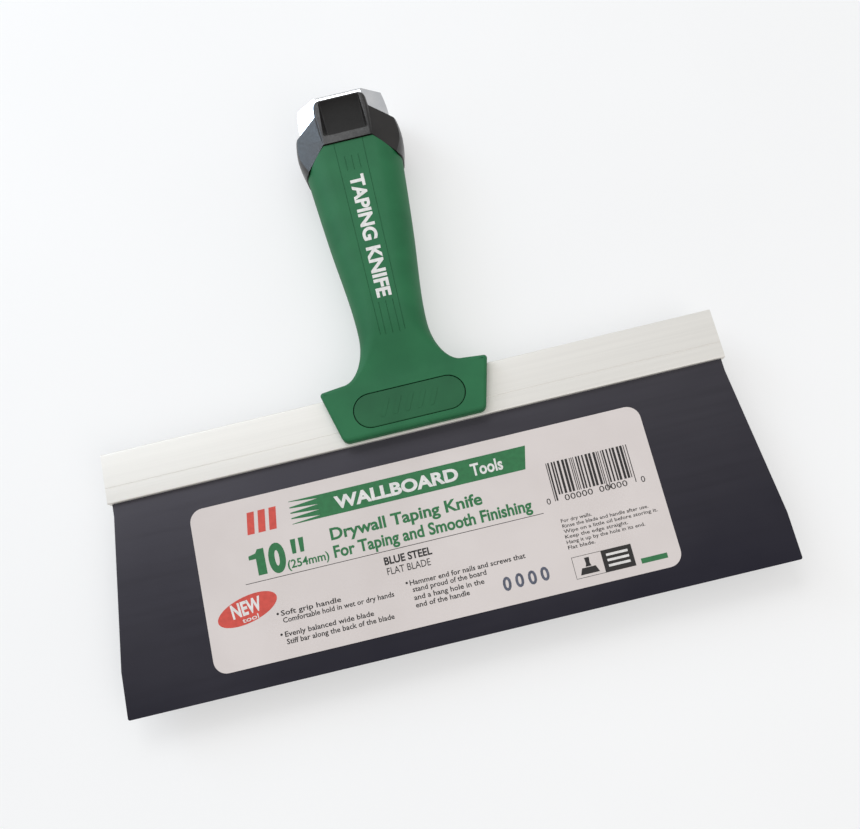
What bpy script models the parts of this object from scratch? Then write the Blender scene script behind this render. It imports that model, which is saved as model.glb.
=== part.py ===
"""Drywall taping knife: blue-steel blade in an aluminium backing, riveted soft-grip handle with a tang,
and a plastic end collar that holds a hang hole and a metal hammer cap.

Metres. The knife lies on its back: +X along the working edge, +Y from the edge to the hammer cap, +Z up
out of the front face. Inside the functions y = 0 is the working edge and z = 0 the blade's middle plane;
an empty named knife then carries everything to the origin under the middle of the object."""

import math

import bmesh
import bpy
from mathutils import Matrix, Vector

# Blade
BLADE_WIDTH = 0.254
BLADE_THICKNESS = 0.0005
KNEE_Y = 0.0177  # the sides run square to the working edge up to here
TAB_DROP = 0.005  # square stretch under the backing
TAB_INSET = 0.0012  # from the backing's ends
BLADE_CORNER = 0.0008

# Backing channel
BACKING_LENGTH = 0.2452
BACKING_Y = 0.0805
BACKING_HEIGHT = 0.0202
BACKING_THICKNESS = 0.0042
BACKING_EDGE = 0.0009
BACKING_WEB = 0.0021  # solid back of the channel, over the blade's slot

# Handle plan, front and edge sizes
FOOT_RISE = 0.0009  # from the backing's lower edge to the foot's
FOOT_LAP = 0.0029  # of the foot's top over the backing's
FOOT_BOTTOM_HALF = 0.0279
FOOT_TOP_HALF = 0.0335
FOOT_LOW_RADIUS = 0.0028
FOOT_TOP_RADIUS = 0.0013
FOOT_CORNER_DROP = 0.0010  # of the foot's top corners below the sweep's end
FILLET_WIDTH = 0.0100  # the sweep from waist to foot is a quarter ellipse
FILLET_HEIGHT = 0.0190
WAIST_HALF = 0.0139
PALM_HALF = 0.0175
PALM_FLARE = 0.095  # widening of each side per length, halfway up
GRIP_END_HALF = 0.0209
GRIP_END_FLARE = 0.080
FOOT_HALF_THICKNESS = 0.0072
WAIST_HALF_THICKNESS = 0.0110
WAIST_SWELL = 0.03  # thickening of each side per length
GRIP_END_HALF_THICKNESS = 0.0121
GRIP_END_SWELL = 0.01
SWELL_REACH = 0.0020  # the swell from foot to waist starts below the sweep and ends above it by this much
FOOT_EDGE = 0.0015  # radii of the front and back edges
WAIST_EDGE = 0.0084
WAIST_EDGE_GROWTH = 0.05  # of the radius per length, from the foot's top on
GRIP_END_EDGE = 0.0104
GRIP_END_EDGE_GROWTH = 0.02
HANDLE_LENGTH = 0.1457  # from the foot's bottom to the hammer face
SKIN = 0.0020  # soft grip over the core
CORE_FIT = 0.0001  # soft grip round the core
CORE_STEP = 0.0022  # the core goes this much further up than the grip
SPARE = 0.0100  # by which a form is drawn too long before it is cut to length

# Collar, hang hole and hammer cap, measured back from the hammer face
COLLAR_HALF = 0.0224
COLLAR_LOW_HALF = 0.0206
COLLAR_TOP_HALF = 0.0200
COLLAR_RISE = 0.0005  # over the grip's end, front and back
COLLAR_EDGE = 0.0100
COLLAR_BULGE_BACK = 0.0225
COLLAR_LOW_FLARE = 0.20
COLLAR_TOP_FLARE = -0.25
COLLAR_SPARE = 0.0020
GRIP_FLAT_HALF = 0.0103
GRIP_TIP_X = 0.0190  # where the chamfer ends and the edge runs level round the side
GRIP_TIP_DROP = 0.0088  # below the grip's flat end
FRAME_WALL = 0.0020  # beside the hole's foot
FRAME_TAPER = 0.0006  # of each side towards the frame's top
FRAME_LOW_TUCK = 0.0008
FRAME_LAP = 0.0020  # of the frame's block below the grip's end
FRAME_BACK = 0.0026
FRAME_RISE = 0.0002  # over the collar
FRAME_CORNER = 0.0030
FRAME_EDGE = 0.0013
FRAME_KINK_DROP = 0.0008  # its widest place, below the shoulder
HOLE_HALF = 0.0094
HOLE_TAPER = 0.0009  # of each side towards the hole's roof
HOLE_HEIGHT = 0.0161
HOLE_ROOF = 0.0012  # plastic between the hole and the hammer cap
HOLE_FLOOR = 0.0039  # and between the hole and the grip's end
HOLE_CORNER = 0.0008
SHOULDER_BACK = 0.0094  # where the shoulder leaves the frame
SHOULDER_SLOPE = 0.60
FACET_DROP = 0.0016  # below the frame's face, where the flats beside the frame meet its upper end
FACET_BACK = 0.0098
FACET_TILT = 26.0  # degrees, outwards
FACET_PITCH = 3.0  # degrees, towards the hammer cap
CAP_HALF = 0.0190
CAP_TOP_HALF = 0.0178
CAP_FACE_HALF = 0.0068
CAP_CORNER_BACK = 0.0027
CAP_FLARE = -0.25
CAP_FACE_TUCK = 0.0006  # of the sides at the face, inside the corners
CAP_FACE_CORNER = 0.0030
CAP_BELOW = 0.0200  # where the cap's blank starts, under the shoulder
CAP_HALF_THICKNESS = 0.0116
CAP_SIDE_EDGE = 0.0036
CAP_FACE_EDGE = 0.0018

# Fasteners and inlays
TANG_THICKNESS = 0.0012
TANG_HALF = 0.0080
TANG_FOOT_HALF = 0.0180
TANG_FOOT_RISE = 0.0035
RIVET_PITCH = 0.0140
RIVET_RADIUS = 0.0020
RIVET_HEAD_RADIUS = 0.0040
RIVET_HEAD = 0.0011
RIVET_RIM = 0.3  # share of the head's height at its rim
RIVET_RISE = 0.0105  # above the foot's bottom
PIN_RADIUS = 0.0015
LOWER_PIN_RISE = 0.0420  # above the foot's top
UPPER_PIN_DROP = 0.0077  # below the grip's end
SCREW_RADIUS = 0.0015
SCREW_HEAD_RADIUS = 0.0026
SCREW_HEAD = 0.0020
SCREW_HEAD_FLAT = 0.7  # share of the head's radius
SCREW_HEAD_RIM = 0.5  # share of its height
SCREW_INSET = 0.0043  # of its axis from the frame's side
SCREW_REACH = 0.0080  # into the cap's lobe
MEDALLION_LENGTH = 0.0436
MEDALLION_LOW_MARGIN = 0.00315  # to the foot's lower edge
MEDALLION_TOP_MARGIN = 0.00575  # to the foot's top
MEDALLION_SINK = 0.0001
MEDALLION_EDGE = 0.0003

# Label
LABEL_WIDTH = 0.1775
LABEL_CENTRE_X = -0.0039
LABEL_Y = 0.0082
LABEL_TOP_GAP = 0.0098  # to the backing
LABEL_THICKNESS = 0.00012
LABEL_CORNER = 0.0052

# Clearances
GAP = 0.0003  # between pieces that meet across a visible seam
FIT = 0.00005  # between flat faces that lie on each other
HOLE_FIT = 0.0001  # round holes over their pins, each side
CAP_FIT = 0.0001  # hammer cap on its collar

LEAST_CORNER = 0.0006  # left on an inset form's plan corners
LEAST_EDGE = 0.0004  # left on its front and back edges
FINE, COARSE = 2, 1  # multiples of the steps below, on the handle's outside and its hidden surfaces
CORNER_STEPS = 2
EDGE_STEPS = 3
SWEEP_STEPS = 7
SHAFT_STEPS = 5
ROUND_STEPS = 16
STADIUM_STEPS = 12
BARREL_STEPS = 12
BARREL_EDGE_STEPS = 6
FACE_STEPS = 4
FAR = 0.06  # beyond everything a cutter has to clear
MERGE = 1e-6  # vertices closer than this are one
NIL = 1e-9

BLADE_TOP_Y = BACKING_Y + BACKING_HEIGHT - BACKING_WEB - GAP
FOOT_Y = BACKING_Y + FOOT_RISE
FOOT_TOP_Y = BACKING_Y + BACKING_HEIGHT + FOOT_LAP
WAIST_Y = FOOT_TOP_Y + FILLET_HEIGHT
MEDALLION_HEIGHT = FOOT_TOP_Y - FOOT_Y - MEDALLION_LOW_MARGIN - MEDALLION_TOP_MARGIN
MEDALLION_Y = FOOT_Y + MEDALLION_LOW_MARGIN + MEDALLION_HEIGHT / 2
END_Y = FOOT_Y + HANDLE_LENGTH
HOLE_TOP_Y = END_Y - FRAME_BACK - HOLE_ROOF
HOLE_Y = HOLE_TOP_Y - HOLE_HEIGHT
GRIP_END_Y = HOLE_Y - HOLE_FLOOR
GRIP_CHAMFER_SLOPE = GRIP_TIP_DROP / (GRIP_TIP_X - GRIP_FLAT_HALF)
FRAME_HALF = HOLE_HALF + FRAME_WALL
FRAME_LOW_HALF = FRAME_HALF - FRAME_LOW_TUCK
FRAME_TOP_HALF = FRAME_HALF - FRAME_TAPER
HOLE_TOP_HALF = HOLE_HALF - HOLE_TAPER
COLLAR_HALF_THICKNESS = GRIP_END_HALF_THICKNESS + COLLAR_RISE
FRAME_HALF_THICKNESS = COLLAR_HALF_THICKNESS + FRAME_RISE
RIVET_Y = FOOT_Y + RIVET_RISE
PINS = {"tang_pin_lower": FOOT_TOP_Y + LOWER_PIN_RISE, "tang_pin_upper": GRIP_END_Y - UPPER_PIN_DROP}
RIVETS = {"rivet_left": -RIVET_PITCH, "rivet_centre": 0.0, "rivet_right": RIVET_PITCH}
TANG_Z = BLADE_THICKNESS / 2 + FIT
CORE_FACE = FOOT_HALF_THICKNESS - SKIN
HEAD_SEAT = CORE_FACE - RIVET_HEAD - 2 * FIT
SCREW_X = FRAME_HALF + SCREW_INSET
LIE_HEIGHT = FRAME_HALF_THICKNESS


def clear_scene():
    for obj in list(bpy.data.objects):
        bpy.data.objects.remove(obj)


def material(name, colour, roughness, metallic=0.0):
    made = bpy.data.materials.new(name)
    made.use_nodes = True
    shader = made.node_tree.nodes["Principled BSDF"]
    shader.inputs["Base Color"].default_value = (*colour, 1.0)
    shader.inputs["Roughness"].default_value = roughness
    shader.inputs["Metallic"].default_value = metallic
    return made


def add(name, bm, finish, sharp=math.radians(30)):
    """Make the bmesh a named object under the knife's empty, shaded smooth between its sharp edges."""
    bmesh.ops.recalc_face_normals(bm, faces=bm.faces)
    mesh = bpy.data.meshes.new(name)
    bm.to_mesh(mesh)
    bm.free()
    mesh.shade_smooth()
    mesh.set_sharp_from_angle(angle=sharp)
    obj = bpy.data.objects.new(name, mesh)
    obj.parent = bpy.data.objects["knife"]
    bpy.context.scene.collection.objects.link(obj)
    if finish:
        mesh.materials.append(finish)
    return obj


def combine(obj, other, operation):
    """Boolean with a helper object that is left out of the model."""
    other.hide_render = True
    other.display_type = "WIRE"
    modifier = obj.modifiers.new(other.name, "BOOLEAN")
    modifier.operation = operation
    modifier.solver = "EXACT"
    modifier.object = other


def cut(obj, *cutters):
    for cutter in cutters:
        combine(obj, cutter, "DIFFERENCE")


# Plan outlines


def hermite(stations, at):
    """Smooth value through stations of (place, value, slope), held constant outside them."""
    if at <= stations[0][0]:
        return stations[0][1]
    for (a, low, slope_a), (b, high, slope_b) in zip(stations, stations[1:]):
        if at <= b:
            t = (at - a) / (b - a)
            rise = (3 - 2 * t) * t * t
            return (
                low + (high - low) * rise
                + (b - a) * t * (1 - t) * (slope_a * (1 - t) - slope_b * t)
            )
    return stations[-1][1]


def arc(centre, radius_x, radius_y, start, end, steps):
    """Points on part of an ellipse, angles in degrees."""
    turns = [math.radians(start + (end - start) * i / steps) for i in range(steps + 1)]
    return [
        Vector((centre[0] + radius_x * math.cos(a), centre[1] + radius_y * math.sin(a)))
        for a in turns
    ]


def round_corner(before, corner, after, radius, steps):
    """The points of a tangent arc in place of a corner, in the order of travel."""
    before, corner, after = Vector(before), Vector(corner), Vector(after)
    way_in = (corner - before).normalized()
    way_out = (after - corner).normalized()
    turn = way_in.angle_signed(way_out)
    reach = radius * abs(math.tan(turn / 2))
    side = Vector((-way_in.y, way_in.x)) * (radius if turn < 0 else -radius)
    centre = corner - way_in * reach + side
    start = corner - way_in * reach - centre
    points = []
    for i in range(steps + 1):
        a = -turn * i / steps
        points.append(
            centre
            + Vector(
                (
                    start.x * math.cos(a) - start.y * math.sin(a),
                    start.x * math.sin(a) + start.y * math.cos(a),
                )
            )
        )
    return points


def rounded(corners, radius, steps=4):
    """Closed outline with every corner rounded."""
    points = []
    for i, corner in enumerate(corners):
        after = corners[(i + 1) % len(corners)]
        points += round_corner(corners[i - 1], corner, after, radius, steps)
    return points


def mirrored(half):
    """Closed outline from its right half, which runs from the lower to the upper centre line."""
    left = [Vector((-p[0], p[1])) for p in reversed(half) if abs(p[0]) > NIL]
    return [Vector(p) for p in half] + left


def stadium(length, height, centre_y, grow=0.0):
    radius = height / 2 + grow
    reach = length / 2 - height / 2
    right = arc((reach, centre_y), radius, radius, -90, 90, STADIUM_STEPS)
    left = arc((-reach, centre_y), radius, radius, 90, 270, STADIUM_STEPS)
    return right + left


# Solids


def prism(outline, low, high):
    """Bmesh of a plan outline drawn up from z = low to z = high."""
    bm = bmesh.new()
    face = bm.faces.new([bm.verts.new((p[0], p[1], low)) for p in outline])
    top = bmesh.ops.extrude_face_region(bm, geom=[face])["geom"]
    moved = [v for v in top if isinstance(v, bmesh.types.BMVert)]
    bmesh.ops.translate(bm, verts=moved, vec=(0, 0, high - low))
    return bm


def block(low, high):
    corners = [(low[0], low[1]), (high[0], low[1]), (high[0], high[1]), (low[0], high[1])]
    return prism(corners, low[2], high[2])


def turned(profile, centre, axis, steps=ROUND_STEPS):
    """Bmesh of a profile of (radius, distance along the axis) spun round the axis through centre."""
    bm = bmesh.new()
    across = Vector((1, 0, 0))
    verts = [bm.verts.new(Vector(centre) + across * r + Vector(axis) * d) for r, d in profile]
    edges = [bm.edges.new(pair) for pair in zip(verts, verts[1:])]
    bmesh.ops.spin(
        bm, geom=verts + edges, cent=centre, axis=axis, angle=math.tau, steps=steps, use_merge=True
    )
    bmesh.ops.remove_doubles(bm, verts=bm.verts, dist=MERGE)
    return bm


def peg(radius, centre, low, high):
    """Plain cylinder along Z."""
    return turned([(0, low), (radius, low), (radius, high), (0, high)], centre, (0, 0, 1))


def edge_rounded(side, half_thickness, edge_radius, arc_steps):
    """Bmesh of a body whose plan is the right-hand outline `side` and its mirror image.

    Its half thickness and the radius of its front and back edges are functions of y. Each outline point
    gets a rib: up the side wall, round the edge, and across the face to the centre line."""
    bm = bmesh.new()
    ribs = []
    for i, point in enumerate(side):
        way = (side[min(i + 1, len(side) - 1)] - side[max(i - 1, 0)]).normalized()
        if abs(point.x) < NIL:
            way = Vector((math.copysign(1, way.x), 0))
        inward = Vector((-way.y, way.x))
        radius = edge_radius(point.y)
        inner = point + inward * radius
        height = half_thickness(inner.y)
        rib = [(point.x, point.y, 0.0)]
        for step in range(arc_steps + 1):
            a = math.pi / 2 * step / arc_steps
            at = point + inward * radius * (1 - math.cos(a))
            rib.append((at.x, at.y, height - radius + radius * math.sin(a)))
        rib.append((0.0, inner.y, height))
        ribs.append([bm.verts.new(p) for p in rib])
    chains = [[bm.edges.new(pair) for pair in zip(rib, rib[1:])] for rib in ribs]
    for one, two in zip(chains, chains[1:]):
        bmesh.ops.bridge_loops(bm, edges=one + two)
    bmesh.ops.remove_doubles(bm, verts=bm.verts, dist=MERGE)
    for axis in "XZ":
        bmesh.ops.mirror(bm, geom=bm.verts[:] + bm.edges[:] + bm.faces[:], axis=axis, merge_dist=MERGE)
    bmesh.ops.remove_doubles(bm, verts=bm.verts, dist=MERGE)
    open_edges = [e for e in bm.edges if e.is_boundary]
    if open_edges:
        bmesh.ops.contextual_create(bm, geom=open_edges)
    return bm


# Handle form, shared by the grip, its cavity and the core


def handle_side(inset, top_y, detail):
    """Right-hand plan of the handle from the foot's bottom centre to top_y, drawn in by inset."""
    low = Vector((FOOT_BOTTOM_HALF, FOOT_Y))
    high = Vector((FOOT_TOP_HALF, FOOT_TOP_Y - FOOT_CORNER_DROP))
    way = (high - low).normalized()
    inward = Vector((-way.y, way.x)) * inset
    low = low + inward + way * ((inset - inward.y) / way.y)
    fillet = arc(
        (WAIST_HALF + FILLET_WIDTH, WAIST_Y),
        FILLET_WIDTH + inset,
        FILLET_HEIGHT + inset,
        -90,
        -180,
        SWEEP_STEPS * detail,
    )
    high = high + inward + way * ((-inset - inward.y) / way.y)
    low_radius = max(FOOT_LOW_RADIUS - inset, LEAST_CORNER)
    top_radius = max(FOOT_TOP_RADIUS - inset, LEAST_CORNER)
    points = [Vector((0.0, FOOT_Y + inset))]
    points += round_corner(points[0], low, high, low_radius, CORNER_STEPS * detail)
    points += round_corner(low, high, fillet[0], top_radius, CORNER_STEPS * detail)
    points += fillet
    widths = (
        (WAIST_Y, WAIST_HALF, 0.0),
        ((WAIST_Y + GRIP_END_Y) / 2, PALM_HALF, PALM_FLARE),
        (GRIP_END_Y, GRIP_END_HALF, GRIP_END_FLARE),
    )
    count = SHAFT_STEPS * detail
    for i in range(1, count + 1):
        y = WAIST_Y + (top_y - WAIST_Y) * i / count
        over = max(y - GRIP_END_Y, 0.0) * GRIP_END_FLARE
        points.append(Vector((hermite(widths, y) + over - inset, y)))
    return points


def handle_height(y):
    return hermite(
        (
            (FOOT_TOP_Y - SWELL_REACH, FOOT_HALF_THICKNESS, 0.0),
            (WAIST_Y + SWELL_REACH, WAIST_HALF_THICKNESS, WAIST_SWELL),
            (GRIP_END_Y, GRIP_END_HALF_THICKNESS, GRIP_END_SWELL),
        ),
        y,
    )


def handle_edge(y):
    return hermite(
        (
            (FOOT_TOP_Y, FOOT_EDGE, WAIST_EDGE_GROWTH),
            (WAIST_Y + SWELL_REACH, WAIST_EDGE, WAIST_EDGE_GROWTH),
            (GRIP_END_Y, GRIP_END_EDGE, GRIP_END_EDGE_GROWTH),
        ),
        y,
    )


def handle_form(inset, top_y, detail=COARSE):
    def height(y):
        return handle_height(y) - inset

    def edge(y):
        return min(max(handle_edge(y) - inset, LEAST_EDGE), height(y) - LEAST_EDGE)

    return edge_rounded(handle_side(inset, top_y, detail), height, edge, EDGE_STEPS * detail)


def grip_end(rise):
    """Right half of the grip's flat and chamfered end, from its centre outwards, moved up by rise."""
    y = GRIP_END_Y + rise
    return [
        Vector((0.0, y)),
        Vector((GRIP_FLAT_HALF, y)),
        Vector((GRIP_TIP_X, y - GRIP_TIP_DROP)),
        Vector((FAR, y - GRIP_TIP_DROP)),
    ]


def above_grip(rise):
    """Cutter for everything past the grip's end."""
    half = grip_end(rise) + [Vector((FAR, END_Y + FAR)), Vector((0.0, END_Y + FAR))]
    return prism(mirrored(half), -FAR, FAR)


def below_grip(rise):
    """Cutter for everything up to the grip's end."""
    half = [Vector((0.0, BACKING_Y)), Vector((FAR, BACKING_Y))] + grip_end(rise)[::-1]
    return prism(mirrored(half), -FAR, FAR)


# Pieces


def blade(finish):
    half = BLADE_WIDTH / 2
    tab = BACKING_LENGTH / 2 - TAB_INSET
    right = [Vector((0.0, 0.0))]
    right += round_corner((0, 0), (half, 0), (half, KNEE_Y), BLADE_CORNER, 3)
    right += [
        Vector((half, KNEE_Y)),
        Vector((tab, BACKING_Y - TAB_DROP)),
        Vector((tab, BLADE_TOP_Y)),
        Vector((0.0, BLADE_TOP_Y)),
    ]
    half_z = BLADE_THICKNESS / 2
    obj = add("blade", prism(mirrored(right), -half_z, half_z), finish)
    cut(obj, *rivet_cutters("blade"))


def rivet_cutters(owner):
    made = []
    for name, x in RIVETS.items():
        bm = peg(RIVET_RADIUS + HOLE_FIT, (x, RIVET_Y, 0), -FAR / 2, FAR / 2)
        made.append(add(f"{owner}_hole_for_{name}", bm, None))
    return made


def backing(finish):
    """Channel section in Y and Z, open at the bottom for the blade, drawn out along X."""
    half_z = BACKING_THICKNESS / 2
    top = BACKING_Y + BACKING_HEIGHT
    slot = BLADE_THICKNESS / 2 + FIT
    slot_top = BLADE_TOP_Y + GAP
    outer = [(BACKING_Y, slot), (BACKING_Y, half_z), (top, half_z), (top, -half_z), (BACKING_Y, -half_z)]
    section = [(slot_top, -slot), (slot_top, slot), outer[0]]
    section += round_corner(outer[0], outer[1], outer[2], BACKING_EDGE / 2, 3)
    section += round_corner(outer[1], outer[2], outer[3], BACKING_EDGE, 4)
    section += round_corner(outer[2], outer[3], outer[4], BACKING_EDGE, 4)
    section += round_corner(outer[3], outer[4], (BACKING_Y, -slot), BACKING_EDGE / 2, 3)
    section += [(BACKING_Y, -slot)]
    bm = bmesh.new()
    half = BACKING_LENGTH / 2
    face = bm.faces.new([bm.verts.new((-half, p[0], p[1])) for p in section])
    drawn = bmesh.ops.extrude_face_region(bm, geom=[face])["geom"]
    moved = [v for v in drawn if isinstance(v, bmesh.types.BMVert)]
    bmesh.ops.translate(bm, verts=moved, vec=(BACKING_LENGTH, 0, 0))
    obj = add("backing", bm, finish)
    pocket = block(
        (-TANG_FOOT_HALF - FIT, BACKING_Y + TANG_FOOT_RISE - GAP, 0.0),
        (TANG_FOOT_HALF + FIT, top + GAP, TANG_Z + TANG_THICKNESS + FIT),
    )
    cut(obj, add("tang_pocket", pocket, None), *rivet_cutters("backing"))


def tang(finish):
    foot_top = BACKING_Y + BACKING_HEIGHT
    top = GRIP_END_Y + CORE_STEP - GAP
    right = [
        Vector((0.0, BACKING_Y + TANG_FOOT_RISE)),
        Vector((TANG_FOOT_HALF, BACKING_Y + TANG_FOOT_RISE)),
        Vector((TANG_FOOT_HALF, foot_top)),
    ]
    right += [Vector((TANG_HALF, foot_top)), Vector((TANG_HALF, top)), Vector((0.0, top))]
    obj = add("tang", prism(mirrored(right), TANG_Z, TANG_Z + TANG_THICKNESS), finish)
    cut(obj, *rivet_cutters("tang"), *pin_cutters("tang"))


def pin_cutters(owner):
    made = []
    for name, y in PINS.items():
        bm = peg(PIN_RADIUS + HOLE_FIT, (0, y, 0), -FAR / 2, FAR / 2)
        made.append(add(f"{owner}_hole_for_{name}", bm, None))
    return made


def backing_slot(owner):
    """Cutter for the slot in which the foot straddles the backing."""
    half_z = BACKING_THICKNESS / 2 + FIT
    bm = block((-FAR, 0, -half_z), (FAR, BACKING_Y + BACKING_HEIGHT + GAP, half_z))
    return add(f"{owner}_backing_slot", bm, None)


def core(finish):
    obj = add("core", handle_form(SKIN, GRIP_END_Y + SPARE), finish)
    tang_slot = block(
        (-TANG_HALF - FIT, BACKING_Y, TANG_Z - FIT),
        (TANG_HALF + FIT, END_Y + FAR, TANG_Z + TANG_THICKNESS + FIT),
    )
    seats = []
    wide, narrow, reach = RIVET_HEAD_RADIUS + GAP, RIVET_RADIUS + HOLE_FIT, FAR / 2
    for name, x in RIVETS.items():
        half = [(narrow, HEAD_SEAT), (wide, HEAD_SEAT), (wide, reach), (0.0, reach)]
        profile = [(r, -d) for r, d in reversed(half)] + half
        seats.append(add(f"seat_of_{name}", turned(profile, (x, RIVET_Y, 0), (0, 0, 1)), None))
    cut(obj, add("core_end", above_grip(CORE_STEP), None), backing_slot("core"))
    cut(obj, add("tang_slot", tang_slot, None), *seats, *pin_cutters("core"))


def grip(finish):
    obj = add("grip", handle_form(0.0, GRIP_END_Y + SPARE, FINE), finish, math.radians(40))
    cut(obj, add("grip_end", above_grip(0.0), None))
    cavity = handle_form(SKIN - CORE_FIT, GRIP_END_Y + SPARE + GAP)
    cut(obj, add("grip_cavity", cavity, None), backing_slot("grip"))
    opening = prism(stadium(MEDALLION_LENGTH, MEDALLION_HEIGHT, MEDALLION_Y, GAP), -FAR, FAR)
    cut(obj, add("medallion_opening", opening, None))


def medallion(name, side, finish):
    """Stadium inlay with softened outer edges, on the core's face, front (side 1) or back (side -1)."""
    low = CORE_FACE + FIT
    high = FOOT_HALF_THICKNESS - MEDALLION_SINK
    bm = prism(stadium(MEDALLION_LENGTH, MEDALLION_HEIGHT, MEDALLION_Y), low, high)
    rim = [e for e in bm.edges if all(abs(v.co.z - high) < MERGE for v in e.verts)]
    bmesh.ops.bevel(bm, geom=rim, offset=MEDALLION_EDGE, segments=2, profile=0.5, affect="EDGES")
    bmesh.ops.scale(bm, verts=bm.verts, vec=(1, 1, side))
    add(name, bm, finish)


def rivet(name, x, finish):
    """Shank with a low domed head on each side of the core's foot."""
    seat = HEAD_SEAT + FIT
    rim = seat + RIVET_HEAD * RIVET_RIM
    dome = arc((0.0, rim), RIVET_HEAD_RADIUS, RIVET_HEAD * (1 - RIVET_RIM), 0, 90, EDGE_STEPS)
    upper = [(RIVET_RADIUS, seat), (RIVET_HEAD_RADIUS, seat)] + [tuple(p) for p in dome[:-1]]
    upper += [(0.0, dome[-1].y)]
    profile = [(r, -d) for r, d in reversed(upper)] + upper
    add(name, turned(profile, (x, RIVET_Y, 0), (0, 0, 1)), finish)


def tang_pin(name, y, finish):
    reach = handle_height(y) - SKIN - GAP
    add(name, peg(PIN_RADIUS, (0, y, 0), -reach, reach), finish)


def shoulder_y(x, rise=0.0):
    """Height of the collar's sloped shoulder at x, which the cap's lobes stand on."""
    return END_Y - SHOULDER_BACK - (abs(x) - FRAME_HALF) * SHOULDER_SLOPE + rise


def collar_side():
    """Right-hand plan of the collar's barrel, open at both ends."""
    low_y = GRIP_END_Y - GRIP_TIP_DROP
    top_y = END_Y - SHOULDER_BACK + COLLAR_SPARE
    widths = (
        (low_y, COLLAR_LOW_HALF, COLLAR_LOW_FLARE),
        (END_Y - COLLAR_BULGE_BACK, COLLAR_HALF, 0.0),
        (top_y, COLLAR_TOP_HALF, COLLAR_TOP_FLARE),
    )
    steps = [low_y + (top_y - low_y) * i / BARREL_STEPS for i in range(BARREL_STEPS + 1)]
    return [Vector((hermite(widths, y), y)) for y in steps]


def barrel(side, half_thickness, edge_radius):
    """Bmesh of a bar whose cross-section is a rounded rectangle as wide as the outline at each y.

    Its half thickness and corner radius are functions of y."""
    bm = bmesh.new()
    rings = []
    for point in side:
        height, radius = half_thickness(point.y), edge_radius(point.y)
        corner = (point.x - radius, height - radius)
        quarter = arc(corner, radius, radius, 0, 90, BARREL_EDGE_STEPS)
        loop = quarter + [Vector((-p.x, p.y)) for p in reversed(quarter)]
        loop += [Vector((-p.x, -p.y)) for p in quarter]
        loop += [Vector((p.x, -p.y)) for p in reversed(quarter)]
        verts = [bm.verts.new((p.x, point.y, p.y)) for p in loop]
        rings.append([bm.edges.new((verts[i - 1], verts[i])) for i in range(len(verts))])
    for one, two in zip(rings, rings[1:]):
        bmesh.ops.bridge_loops(bm, edges=one + two)
    for ring in (rings[0], rings[-1]):
        bmesh.ops.contextual_create(bm, geom=ring)
    return bm


def collar(finish):
    form = barrel(collar_side(), lambda y: COLLAR_HALF_THICKNESS, lambda y: COLLAR_EDGE)
    obj = add("collar", form, finish, math.radians(20))
    shoulder = [
        Vector((0.0, shoulder_y(0))),
        Vector((FAR, shoulder_y(FAR))),
        Vector((FAR, END_Y + FAR)),
        Vector((0.0, END_Y + FAR)),
    ]
    cut(obj, add("shoulder_cut", prism(mirrored(shoulder), -FAR, FAR), None), *facet_cutters("collar"))
    combine(obj, add("frame", frame_block(), None), "UNION")
    cavity = handle_form(SKIN - GAP, GRIP_END_Y + SPARE + GAP)
    stop = above_grip(CORE_STEP + GAP)
    core_room = add("core_room", cavity, None)
    cut(core_room, add("core_room_end", stop, None))
    cut(obj, add("grip_room", below_grip(GAP), None), core_room, add("hang_hole", hole_block(), None))
    cut(obj, *screw_cutters("collar"))


def facet_cutters(owner):
    """Half spaces that leave a flat beside the frame, left and right, front and back."""
    made = []
    corner = (FRAME_HALF, END_Y - FACET_BACK, FRAME_HALF_THICKNESS - FACET_DROP)
    tilt = Matrix.Rotation(math.radians(FACET_TILT), 4, "Y")
    pitch = Matrix.Rotation(math.radians(-FACET_PITCH), 4, "X")
    for side in (-1, 1):
        for face in (-1, 1):
            bm = block((-FAR, -FAR, 0.0), (FAR, FAR, FAR / 2))
            bmesh.ops.transform(bm, verts=bm.verts, matrix=Matrix.Translation(corner) @ tilt @ pitch)
            bmesh.ops.scale(bm, verts=bm.verts, vec=(side, 1, face))
            made.append(add(f"{owner}_facet_cut_{side}_{face}", bm, None))
    return made


def frame_side(low, grow=0.0):
    """Right half of the raised frame's plan, narrower at its foot and at its top, grown by a clearance."""
    top = END_Y - FRAME_BACK + grow
    corner = (FRAME_TOP_HALF + grow, top)
    right = [Vector((0.0, low)), Vector((FRAME_LOW_HALF + grow, low))]
    right += [Vector((FRAME_HALF + grow, END_Y - SHOULDER_BACK - FRAME_KINK_DROP))]
    right += round_corner(right[-1], corner, (0, top), FRAME_CORNER + grow, 5)
    return right + [Vector((0.0, top))]


def frame_block():
    """Raised rectangular frame round the hang hole."""
    low = GRIP_END_Y - FRAME_LAP
    outline = mirrored(frame_side(low))
    bm = prism(outline, -FRAME_HALF_THICKNESS, FRAME_HALF_THICKNESS)
    rim = [e for e in bm.edges if abs(e.verts[0].co.z - e.verts[1].co.z) < MERGE]
    rim = [e for e in rim if max(v.co.y for v in e.verts) > low + MERGE]
    bmesh.ops.bevel(bm, geom=rim, offset=FRAME_EDGE, segments=3, profile=0.5, affect="EDGES")
    return bm


def hole_block():
    corners = [
        (-HOLE_HALF, HOLE_Y),
        (HOLE_HALF, HOLE_Y),
        (HOLE_TOP_HALF, HOLE_TOP_Y),
        (-HOLE_TOP_HALF, HOLE_TOP_Y),
    ]
    return prism(rounded(corners, HOLE_CORNER), -FAR / 2, FAR / 2)


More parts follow.
